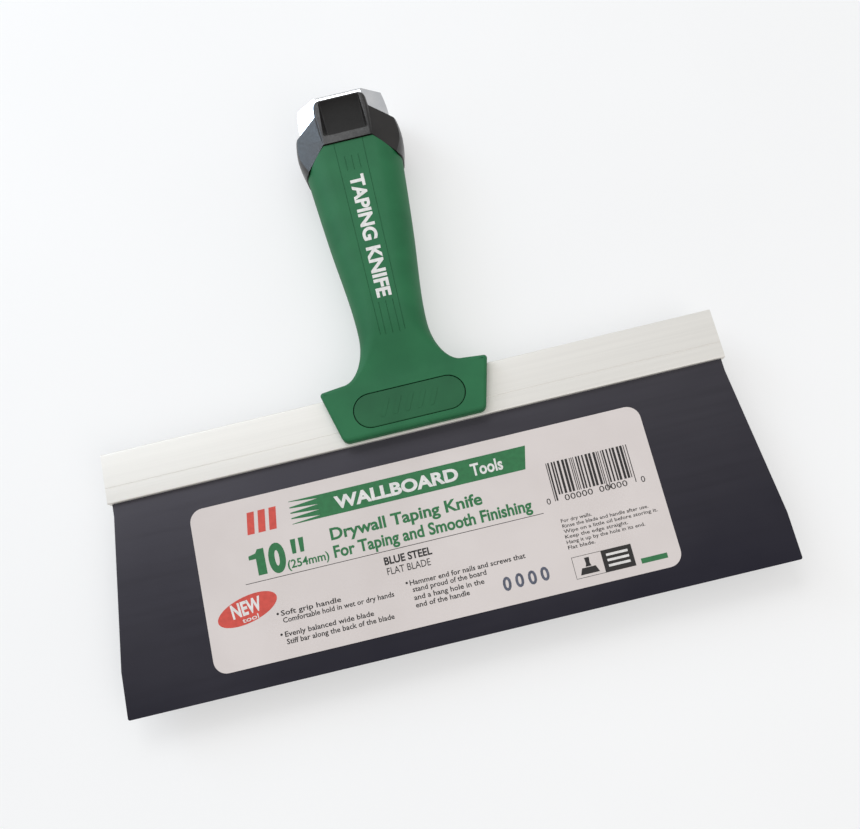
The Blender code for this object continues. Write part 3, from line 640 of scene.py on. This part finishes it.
def hammer_cap(finish):
    """Two rounded lobes and one face plate round the collar's frame."""
    start, knee = END_Y - CAP_BELOW, END_Y - CAP_CORNER_BACK
    levels = [start] + [
        shoulder_y(CAP_HALF) + (knee - shoulder_y(CAP_HALF)) * i / FACE_STEPS
        for i in range(FACE_STEPS + 1)
    ]
    turns = [math.pi / 2 * i / FACE_STEPS for i in range(FACE_STEPS + 1)]
    levels += [END_Y - CAP_FACE_EDGE * (1 - math.sin(turn)) for turn in turns]
    widths = (
        (shoulder_y(CAP_HALF), CAP_HALF, 0.0),
        (END_Y, CAP_TOP_HALF - CAP_FACE_TUCK, CAP_FLARE),
    )
    side = [Vector((hermite(widths, y), y)) for y in levels]
    obj = piece("metal_hammer_cap", barrel(side, cap_height, lambda y: CAP_SIDE_EDGE), finish)
    corner = Vector((CAP_TOP_HALF, END_Y - CAP_CORNER_BACK))
    face = Vector((CAP_FACE_HALF, END_Y))
    way = (corner - face).normalized()
    beyond = [Vector((0.0, END_Y + FAR)), Vector((FAR, END_Y + FAR)), face + way * FAR]
    beyond += round_corner(beyond[-1], face, (0, END_Y), CAP_FACE_CORNER, FACE_STEPS)
    beyond += [Vector((0.0, END_Y))]
    shoulder = [
        Vector((0.0, 0.0)),
        Vector((FAR, 0.0)),
        Vector((FAR, shoulder_y(FAR, CAP_FIT))),
        Vector((0.0, shoulder_y(0, CAP_FIT))),
    ]
    plans = [list(reversed(beyond)), frame_side(END_Y - 2 * CAP_BELOW, CAP_FIT), shoulder]
    forms = [
        piece(f"cap_cutter_{i}", prism(mirrored(plan), -FAR, FAR), None)
        for i, plan in enumerate(plans)
    ]
    cut(obj, *forms, *facet_cutters(), sharp=FINE_ANGLE)
    soften(obj, CAP_SOFTENING, 3)
    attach(obj, "root")
    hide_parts("hammer_cap")


# Backing


def backing(finish):
    """Channel section in Y and Z with a fine line along its front and back, drawn out along X."""
    low, high, half_z = backing_low.y, backing_high.y, backing_high.z
    line = low + BACKING_LINE_RISE
    slot_top = TO_ROW.inverted() @ blade_high
    outer = [(low, BLADE_SLOT_HALF), (low, half_z), (high, half_z), (high, 0.0)]
    upper = [(slot_top.y + GAP, 0.0), (slot_top.y + GAP, BLADE_SLOT_HALF), outer[0]]
    upper += round_corner(outer[0], outer[1], outer[2], BACKING_EDGE / 2, 6)
    for across, depth in ((-1, 0), (-0.4, 1), (0.4, 1), (1, 0)):
        upper.append((line + across * BACKING_LINE_HALF, half_z - depth * BACKING_LINE_DEPTH))
    upper += round_corner(outer[1], outer[2], outer[3], BACKING_EDGE, 8)
    lower = [(p[0], -p[1]) for p in reversed(upper) if abs(p[1]) > NIL]
    bm = bmesh.new()
    face = bm.faces.new([bm.verts.new((backing_low.x, p[0], p[1])) for p in upper + lower])
    drawn = bmesh.ops.extrude_face_region(bm, geom=[face])["geom"]
    moved = [v for v in drawn if isinstance(v, bmesh.types.BMVert)]
    bmesh.ops.translate(bm, verts=moved, vec=(backing_high.x - backing_low.x, 0, 0))
    obj = piece("backing_channel", bm, finish)
    tang_low, tang_high = (TO_ROW.inverted() @ Vector(corner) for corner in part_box("tang"))
    pocket = block(
        (-TANG_POCKET_HALF, tang_low.y - GAP, 0.0),
        (TANG_POCKET_HALF, high + GAP, tang_high.z + FIT),
    )
    cut(obj, piece("tang_pocket", pocket, None))
    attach(obj, "root")
    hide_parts("backing")


# Printing on the label and the grip

INK = 0.00003
LETTERING_CLEARANCE = 0.00001  # between the grip and its lettering
INK_CLEARANCE = 0.000005  # between the label and the ink on it
label_high = TO_ROW.inverted() @ Vector(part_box("label")[1])
PRINT_Z = label_high.z + INK_CLEARANCE


def letters(words, weight, resolution):
    """Mesh of plain capital-height-one lettering with its lower left corner at the origin."""
    text = bpy.data.curves.new("words", "FONT")
    text.body = words
    text.offset = weight
    text.resolution_u = resolution
    text.extrude = 0.5
    obj = bpy.data.objects.new("words", text)
    bpy.context.scene.collection.objects.link(obj)
    view = bpy.context.evaluated_depsgraph_get()
    mesh = bpy.data.meshes.new_from_object(obj.evaluated_get(view))
    bpy.data.objects.remove(obj)
    bpy.data.curves.remove(text)
    return mesh


def capital_height():
    mesh = letters("H", 0.0, 2)
    height = max(v.co.y for v in mesh.vertices)
    bpy.data.meshes.remove(mesh)
    return height


CAPITAL = capital_height()


def lettering(bm, words, x, y, height, width, weight=0.0, layer=0, turn=0.0, resolution=3):
    """Adds words to the bmesh, in mm: left end of the baseline, height of the capitals and full width."""
    mesh = letters(words, weight, resolution)
    left = min(v.co.x for v in mesh.vertices)
    span = max(v.co.x for v in mesh.vertices) - left
    mesh.transform(Matrix.Translation((-left, 0.0, 0.5)))
    mesh.transform(Matrix.Diagonal((width * MM / span, height * MM / CAPITAL, INK, 1.0)))
    place = Matrix.Translation((x * MM, y * MM, PRINT_Z + layer * INK))
    mesh.transform(place @ Matrix.Rotation(math.radians(turn), 4, "Z"))
    bm.from_mesh(mesh)
    bpy.data.meshes.remove(mesh)
    bmesh.ops.remove_doubles(bm, verts=bm.verts, dist=MERGE / 10)


def patch(bm, outline, layer=0):
    """Adds a flat printed area, outlined in mm."""
    low = PRINT_Z + layer * INK
    prism([(p[0] * MM, p[1] * MM) for p in outline], low, low + INK, bm)


def bar(bm, x0, y0, x1, y1, layer=0):
    patch(bm, [(x0, y0), (x1, y0), (x1, y1), (x0, y1)], layer)


def dot(bm, x, y, radius):
    patch(bm, arc((x, y), radius, radius, 0, 337.5, 15))


def printed(name, bm, finish):
    obj = piece(name, bm, finish)
    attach(obj, "root")
    return obj


def green_print(finish):
    bm = bmesh.new()
    band = [(37.0, 56.2), (39.1, 65.2)]
    tips, notch, tip, half = (65.4, 62.9, 60.8, 58.7, 56.4), -42.9, -54.2, 0.2
    for i, y in enumerate(tips):
        top = y if i == 0 else y + half
        low = y if i == len(tips) - 1 else y - half
        band += [(tip, top), (tip, low)] if top != low else [(tip, y)]
        if i < len(tips) - 1:
            band.append((notch, (y + tips[i + 1]) / 2))
    patch(bm, band)
    lettering(bm, "0", -65.6, 40.5, 9.9, 6.5, 0.05, resolution=6)
    one = [(-70.3, 40.5), (-66.9, 40.5), (-66.9, 50.4), (-69.4, 50.4), (-70.2, 49.0), (-73.0, 48.4),
           (-73.0, 46.9), (-70.3, 46.9)]
    patch(bm, one)
    for x in (-56.4, -53.3):
        patch(bm, [(x + 0.1, 45.5), (x + 1.6, 45.5), (x + 2.0, 51.0), (x, 51.0)])
    lettering(bm, "(254mm)", -58.9, 40.4, 3.0, 16.0, 0.02)
    lettering(bm, "Drywall Taping Knife", -40.9, 47.2, 4.3, 59.0, 0.028, resolution=4)
    lettering(bm, "For Taping and Smooth Finishing", -40.9, 40.4, 4.3, 76.7, 0.028, resolution=4)
    bar(bm, 69.8, 11.8, 79.7, 13.7)
    return printed("label_green_print", bm, finish)


def white_print(finish):
    bm = bmesh.new()
    lettering(bm, "WALLBOARD", -36.9, 58.4, 4.5, 48.5, 0.04, 1, resolution=5)
    lettering(bm, "Tools", 16.6, 58.4, 4.5, 12.4, 0.025, 1, resolution=5)
    lettering(bm, "NEW", -82.6, 26.9, 4.9, 11.6, 0.035, 1, 6.5)
    lettering(bm, "tool", -79.3, 24.6, 1.7, 6.4, 0.012, 1, 6.5)
    for y in (17.5, 15.5, 13.5):
        bar(bm, 57.8, y, 66.0, y + 0.9, 1)
    return printed("label_white_print", bm, finish)


def red_print(finish):
    bm = bmesh.new()
    for x in (-71.8, -67.5, -63.2):
        patch(bm, [(x, 56.4), (x + 2.8, 56.4), (x + 3.9, 64.9), (x + 1.1, 64.9)])
    tilt = Matrix.Rotation(math.radians(12.5), 2)
    oval = arc((0, 0), 11.9, 4.9, 0, 352.5, 47)
    patch(bm, [Vector((-76.8, 29.2)) + tilt @ p for p in oval])
    return printed("label_red_print", bm, finish)


NOTES = (
    ("Soft grip handle", -64.8, 24.0, 23.0),
    ("Comfortable hold in wet or dry hands", -64.5, 21.3, 42.4),
    ("Evenly balanced wide blade", -64.7, 16.2, 33.8),
    ("Stiff bar along the back of the blade", -64.5, 13.4, 40.8),
    ("Hammer end for nails and screws that", -15.5, 23.8, 44.2),
    ("stand proud of the board", -15.0, 21.2, 28.1),
    ("and a hang hole in the", -15.1, 18.2, 26.7),
    ("end of the handle", -15.1, 15.4, 20.5),
)
CARE = (
    ("For dry walls.", 11.8),
    ("Rinse the blade and handle after use.", 33.0),
    ("Wipe on a little oil before storing it.", 36.0),
    ("Keep the edge straight.", 24.0),
    ("Hang it up by the hole in its end.", 30.0),
    ("Flat blade.", 10.4),
)


def black_print(finish):
    bm = bmesh.new()
    bar(bm, -75.8, 38.2, 39.4, 38.42)
    lettering(bm, "BLUE STEEL", -23.1, 33.3, 2.7, 18.3, 0.03)
    lettering(bm, "FLAT BLADE", -22.8, 29.4, 2.6, 16.6)
    for words, x, y, width in NOTES:
        lettering(bm, words, x, y, 1.85, width, 0.014, resolution=2)
    for x, y in ((-66.0, 25.0), (-66.0, 17.3), (-16.6, 25.0)):
        dot(bm, x, y, 0.45)
    for i, (words, width) in enumerate(CARE):
        lettering(bm, words, 44.9, 33.3 - 2.05 * i, 1.3, width, 0.008, resolution=2)
    barcode(bm)
    picture_box(bm)
    return printed("label_black_print", bm, finish)


def barcode(bm):
    """Bars of one to three modules from a plain counting rule. They code nothing."""
    module, x, i = 32.3 / 95, 44.8, 0
    while x < 76.6:
        width = 1 + (i * i + i // 3) % 3
        space = 1 + (i * 5 + i // 4) % 2
        guard = i in (0, 1) or 17 <= i <= 18 or x > 75.2
        bar(bm, x, 41.7 if guard else 43.8, min(x + width * module * 0.9, 76.9), 56.5)
        x += (width + space) * module
        i += 1
    groups = (("0", 41.6, 1.6), ("00000", 48.6, 10.9), ("00000", 62.0, 10.9), ("0", 78.2, 1.6))
    for zeros, left, width in groups:
        lettering(bm, zeros, left, 41.0, 2.3, width, resolution=2)


def picture_box(bm):
    """Framed cell with a small taping knife beside a solid cell."""
    left, low, right, high, line, middle = 45.0, 11.7, 67.6, 19.9, 0.16, 56.1
    bar(bm, left, low, middle, low + line)
    bar(bm, left, high - line, middle, high)
    bar(bm, left, low + line, left + line, high - line)
    bar(bm, middle, low, right, high)
    x, y = 50.5, 15.4
    patch(bm, [(x - 3.6, y - 2.6), (x + 3.6, y - 2.6), (x + 2.6, y - 0.2), (x - 2.6, y - 0.2)])
    patch(bm, [(x - 1.1, y + 0.1), (x + 1.1, y + 0.1), (x + 0.7, y + 1.2), (x + 0.9, y + 3.4),
               (x - 0.9, y + 3.4), (x - 0.7, y + 1.2)])


def grey_print(finish):
    bm = bmesh.new()
    for i in range(4):
        lettering(bm, "0", 17.9 + 4.9 * i, 13.9 + 0.2 * (i % 2), 4.7, 3.2, 0.03, turn=-4.0 + 2 * i)
    return printed("label_grey_stamp", bm, finish)


def grip_lettering(finish):
    """White lettering down the grip's front, laid on its curved face."""
    bm = bmesh.new()
    lettering(bm, "TAPING KNIFE", -2.6, 187.4, 5.3, 53.7, 0.035, turn=-90.0, resolution=6)
    bmesh.ops.triangulate(bm, faces=bm.faces)
    for vert in bm.verts:
        vert.co.z += handle_height(vert.co.y) - PRINT_Z + LETTERING_CLEARANCE
    return printed("grip_lettering", bm, finish)


# Materials


def new_material(name, roughness, metallic=0.0):
    made = bpy.data.materials.new(name)
    made.use_nodes = True
    shader = made.node_tree.nodes["Principled BSDF"]
    shader.inputs["Roughness"].default_value = roughness
    shader.inputs["Metallic"].default_value = metallic
    return made, made.node_tree, shader


def pattern(tree, scale, detail=3.0, stretch=(1.0, 1.0, 1.0)):
    """Noise over the object's own coordinates, in the given number of grains per metre."""
    nodes = tree.nodes
    coords = nodes.new("ShaderNodeTexCoord")
    mapping = nodes.new("ShaderNodeMapping")
    mapping.inputs["Scale"].default_value = stretch
    noise = nodes.new("ShaderNodeTexNoise")
    noise.inputs["Scale"].default_value = scale
    noise.inputs["Detail"].default_value = detail
    tree.links.new(coords.outputs["Object"], mapping.inputs["Vector"])
    tree.links.new(mapping.outputs["Vector"], noise.inputs["Vector"])
    return noise.outputs["Fac"]


def spread(tree, source, low, high, low_value, high_value, target):
    """Maps a pattern from low..high to a range of values."""
    ramp = tree.nodes.new("ShaderNodeMapRange")
    ends = (("From Min", low), ("From Max", high), ("To Min", low_value), ("To Max", high_value))
    for socket, value in ends:
        ramp.inputs[socket].default_value = value
    tree.links.new(source, ramp.inputs["Value"])
    tree.links.new(ramp.outputs["Result"], target)


def tint(tree, shader, source, dark, light, low=0.35, high=0.65):
    """Base colour between two tones, by a pattern."""
    ramp = tree.nodes.new("ShaderNodeValToRGB")
    ramp.color_ramp.elements[0].position = low
    ramp.color_ramp.elements[0].color = (*dark, 1.0)
    ramp.color_ramp.elements[1].position = high
    ramp.color_ramp.elements[1].color = (*light, 1.0)
    tree.links.new(source, ramp.inputs["Fac"])
    tree.links.new(ramp.outputs["Color"], shader.inputs["Base Color"])


def relief(tree, shader, source, strength, distance):
    bump = tree.nodes.new("ShaderNodeBump")
    bump.inputs["Strength"].default_value = strength
    bump.inputs["Distance"].default_value = distance
    tree.links.new(source, bump.inputs["Height"])
    tree.links.new(bump.outputs["Normal"], shader.inputs["Normal"])


def gradient(tree, centre, size, way):
    """0 to 1 across the object along a direction, between two places."""
    coords = tree.nodes.new("ShaderNodeTexCoord")
    dot_product = tree.nodes.new("ShaderNodeVectorMath")
    dot_product.operation = "DOT_PRODUCT"
    dot_product.inputs[1].default_value = Vector(way).normalized() / size
    tree.links.new(coords.outputs["Object"], dot_product.inputs[0])
    shift = tree.nodes.new("ShaderNodeMath")
    shift.operation = "ADD"
    shift.inputs[1].default_value = 0.5 - Vector(centre).dot(Vector(way).normalized()) / size
    tree.links.new(dot_product.outputs["Value"], shift.inputs[0])
    return shift.outputs["Value"]


def blued_steel():
    """Blue-black oxide in random cloudy tones with fine rolling lines, and painted light that makes it
    lighter and a little browner towards the upper left.
    """
    made, tree, shader = new_material("blued_steel", 0.42, 0.85)
    # painted light: a gradient lightens the steel towards its back edge and the upper left, and is mixed
    # into the colour with the cloudy tone
    across = gradient(tree, (0.0, -0.065, 0.0), 0.12, (-0.1, 1.0, 0.0))
    cloud = pattern(tree, 26.0, 3.0)
    add = tree.nodes.new("ShaderNodeMath")
    add.operation = "MULTIPLY_ADD"
    add.inputs[1].default_value = 0.35
    tree.links.new(cloud, add.inputs[0])
    tree.links.new(across, add.inputs[2])
    tint(tree, shader, add.outputs["Value"], (0.020, 0.019, 0.030), (0.074, 0.070, 0.082), 0.15, 1.15)
    lines = pattern(tree, 420.0, 2.0, (0.05, 1.0, 1.0))
    spread(tree, lines, 0.3, 0.7, 0.36, 0.50, shader.inputs["Roughness"])
    relief(tree, shader, lines, 0.06, 0.0001)
    return made


def satin_aluminium():
    made, tree, shader = new_material("satin_aluminium", 0.55, 0.55)
    lines = pattern(tree, 900.0, 4.0, (0.012, 1.0, 1.0))
    tint(tree, shader, lines, (0.79, 0.765, 0.72), (0.84, 0.815, 0.77), 0.25, 0.75)
    spread(tree, lines, 0.25, 0.75, 0.50, 0.60, shader.inputs["Roughness"])
    relief(tree, shader, lines, 0.04, 0.0001)
    return made


def soft_rubber(name, dark, light, roughness):
    """Matt grip rubber with a very fine moulded grain."""
    made, tree, shader = new_material(name, roughness)
    shader.inputs["Specular IOR Level"].default_value = 0.35
    tint(tree, shader, pattern(tree, 60.0, 4.0), dark, light)
    relief(tree, shader, pattern(tree, 2600.0, 2.0), 0.16, 0.0001)
    return made


def black_plastic():
    made, tree, shader = new_material("black_plastic", 0.34)
    tint(tree, shader, pattern(tree, 80.0, 3.0), (0.009, 0.008, 0.008), (0.016, 0.014, 0.013))
    grain = pattern(tree, 1500.0, 3.0)
    spread(tree, grain, 0.3, 0.7, 0.28, 0.42, shader.inputs["Roughness"])
    relief(tree, shader, grain, 0.12, 0.0001)
    return made


def cap_metal():
    """Plated metal with faint handling marks."""
    made, tree, shader = new_material("cap_metal", 0.16, 1.0)
    tint(tree, shader, pattern(tree, 140.0, 3.0), (0.80, 0.82, 0.85), (0.90, 0.91, 0.93))
    marks = pattern(tree, 380.0, 5.0, (1.0, 0.3, 1.0))
    spread(tree, marks, 0.35, 0.7, 0.10, 0.26, shader.inputs["Roughness"])
    relief(tree, shader, marks, 0.05, 0.0001)
    return made


def label_paper():
    made, tree, shader = new_material("label_paper", 0.45)
    tint(tree, shader, pattern(tree, 30.0, 3.0), (0.67, 0.605, 0.58), (0.72, 0.655, 0.63))
    relief(tree, shader, pattern(tree, 1800.0, 3.0), 0.05, 0.0001)
    return made


def ink(name, colour, spread_of_tone=0.10):
    """Printing ink, slightly uneven in tone."""
    made, tree, shader = new_material(name, 0.42)
    dark = [c * (1 - spread_of_tone) for c in colour]
    light = [min(c * (1 + spread_of_tone), 1.0) for c in colour]
    tint(tree, shader, pattern(tree, 700.0, 3.0), dark, light, 0.3, 0.7)
    return made


def tool_steel():
    made, tree, shader = new_material("tool_steel", 0.34, 1.0)
    lines = pattern(tree, 600.0, 3.0, (1.0, 0.2, 1.0))
    tint(tree, shader, lines, (0.40, 0.40, 0.41), (0.56, 0.56, 0.57))
    spread(tree, lines, 0.3, 0.7, 0.26, 0.44, shader.inputs["Roughness"])
    return made


def core_plastic():
    made, tree, shader = new_material("core_plastic", 0.5)
    tint(tree, shader, pattern(tree, 90.0, 3.0), (0.018, 0.018, 0.019), (0.034, 0.033, 0.034))
    relief(tree, shader, pattern(tree, 1100.0, 3.0), 0.10, 0.0001)
    return made


def dress(node, finish):
    """Gives a CAD node its material."""
    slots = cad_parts[node].material_slots
    for slot in slots:
        slot.link = "OBJECT"
        slot.material = finish


# Camera, light and floor

SENSOR_WIDTH = 36
LENS_TO_WIDTH = 900 / 860  # an assumed lens; the knife's length was read through the same one
CAMERA_TILT = math.radians(-14.20033421)
CAMERA_YAW = math.radians(0.13700728)
CAMERA_ROLL = math.radians(13.51423308)
CAMERA_PLACE = (0.0056927, -0.1135862, 0.3527635)
WORLD_STRENGTH = 0.56
FLOOR_HALF = 4.0
FLOOR_DROP = 0.0002  # below the knife
FLOOR_GLOW = 0.40


def camera():
    lens = bpy.data.cameras.new("camera")
    lens.lens = LENS_TO_WIDTH * SENSOR_WIDTH
    lens.sensor_width = SENSOR_WIDTH
    lens.clip_start = 0.01
    lens.clip_end = 20
    obj = bpy.data.objects.new("camera", lens)
    tilt = Matrix.Rotation(CAMERA_TILT, 3, "X")
    yaw = Matrix.Rotation(CAMERA_YAW, 3, "Y")
    roll = Matrix.Rotation(CAMERA_ROLL, 3, "Z")
    turned = (roll @ tilt @ yaw).transposed().to_4x4()
    obj.matrix_world = Matrix.Translation(CAMERA_PLACE) @ turned
    bpy.context.scene.collection.objects.link(obj)
    bpy.context.scene.camera = obj


def area(name, place, target, size, power, colour=(1.0, 1.0, 1.0)):
    light = bpy.data.lights.new(name, "AREA")
    light.shape = "SQUARE"
    light.size = size
    light.energy = power
    light.color = colour
    obj = bpy.data.objects.new(name, light)
    place = Vector(place)
    obj.matrix_world = Matrix.Translation(place) @ (
        (place - Vector(target)).to_track_quat("Z", "Y").to_matrix().to_4x4()
    )
    bpy.context.scene.collection.objects.link(obj)


def studio():
    world = bpy.data.worlds.new("studio")
    world.use_nodes = True
    background = world.node_tree.nodes["Background"]
    background.inputs["Color"].default_value = (1.0, 1.0, 1.0, 1.0)
    background.inputs["Strength"].default_value = WORLD_STRENGTH
    bpy.context.scene.world = world
    area("upper_left_softbox", (-0.7, 0.7, 0.9), (0, 0, 0), 0.8, 3.8, (0.90, 0.95, 1.0))
    area("left_window", (-0.98, 1.05, 0.62), (0, 0.1, 0), 0.5, 3.9, (0.62, 0.80, 1.0))
    area("rear_softbox", (-0.1, 0.95, 1.2), (0, 0, 0), 0.55, 3.5, (0.96, 0.98, 1.0))
    area("front_fill", (0.5, -0.7, 1.0), (0, 0, 0), 0.9, 3.4, (1.0, 0.97, 0.93))
    bm = bmesh.new()
    bmesh.ops.create_grid(bm, x_segments=1, y_segments=1, size=FLOOR_HALF)
    mesh = bpy.data.meshes.new("floor")
    bm.to_mesh(mesh)
    bm.free()
    floor = bpy.data.objects.new("floor", mesh)
    floor.location.z = cad_box[0][2] - FLOOR_DROP
    made, tree, shader = new_material("floor", 0.8)
    tint(tree, shader, pattern(tree, 4.0), (0.53, 0.53, 0.53), (0.55, 0.55, 0.55))
    shader.inputs["Emission Color"].default_value = (1.0, 1.0, 1.0, 1.0)
    shader.inputs["Emission Strength"].default_value = FLOOR_GLOW
    mesh.materials.append(made)
    bpy.context.scene.collection.objects.link(floor)
    bpy.context.scene.view_settings.view_transform = "Standard"


camera()
studio()
steel = tool_steel()
for node in ("tang", "rivet_left", "rivet_centre", "rivet_right", "tang_pin_lower", "tang_pin_upper",
             "cap_screw_left", "cap_screw_right"):
    dress(node, steel)
dress("blade", blued_steel())
dress("core", core_plastic())
dress("label", label_paper())
inlay = soft_rubber("inlay", (0.010, 0.098, 0.036), (0.014, 0.118, 0.044), 0.55)
dress("front_medallion", inlay)
dress("back_medallion", inlay)
medallion_pattern(inlay)
grip(soft_rubber("soft_grip", (0.012, 0.125, 0.046), (0.017, 0.150, 0.056), 0.58))
backing(satin_aluminium())
collar(black_plastic())
hammer_cap(cap_metal())
white_ink = ink("white_ink", (0.76, 0.74, 0.72))
green_print(ink("green_ink", (0.022, 0.165, 0.055)))
white_print(white_ink)
red_print(ink("red_ink", (0.62, 0.075, 0.055)))
black_print(ink("black_ink", (0.016, 0.014, 0.014)))
grey_print(ink("stamp_ink", (0.10, 0.11, 0.15), 0.3))
grip_lettering(white_ink)
